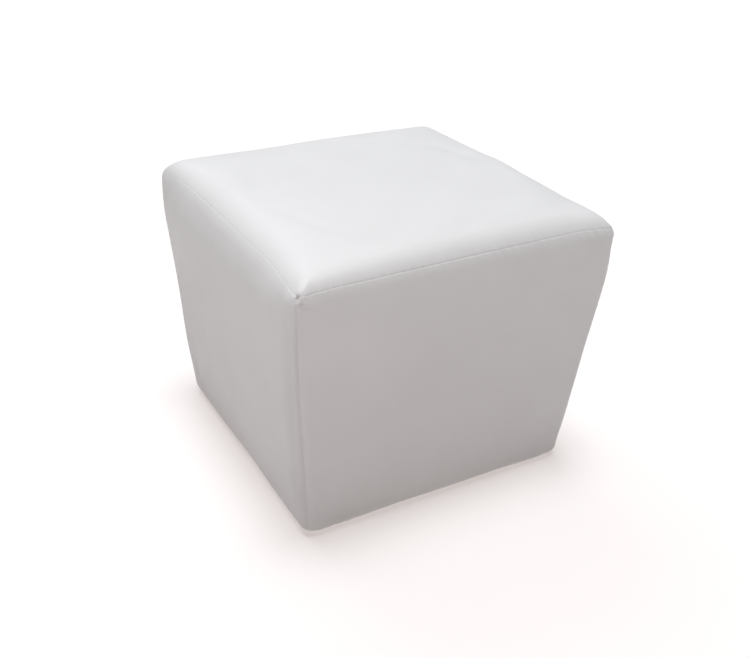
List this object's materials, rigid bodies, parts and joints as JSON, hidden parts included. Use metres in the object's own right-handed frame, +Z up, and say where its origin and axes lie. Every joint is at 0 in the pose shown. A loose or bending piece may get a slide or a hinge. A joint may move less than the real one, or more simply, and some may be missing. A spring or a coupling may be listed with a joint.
{
  "type": "cube pouf stool",
  "caption": "Cube pouf stool in smooth white leatherette: a low-crowned seat top with a soft rolled edge, sewn to padded side panels that lean in to a flat underside.",
  "frame": {"origin": "on the floor under the middle of the stool, which is the middle of its underside", "axes": "+Z up; the front panel faces -Y and the left panel faces -X"},
  "size_m": [0.5008, 0.5008, 0.4212],
  "materials": {
    "leatherette": "smooth white coated cloth, satin to matt, with a very fine grain",
    "bottom_cloth": "plain matt cloth"
  },
  "bodies": {
    "root": {"seat_top": "leatherette", "panel_front": "leatherette", "panel_right": "leatherette", "panel_back": "leatherette", "panel_left": "leatherette", "bottom_cloth": "bottom_cloth"}
  },
  "joints": []
}
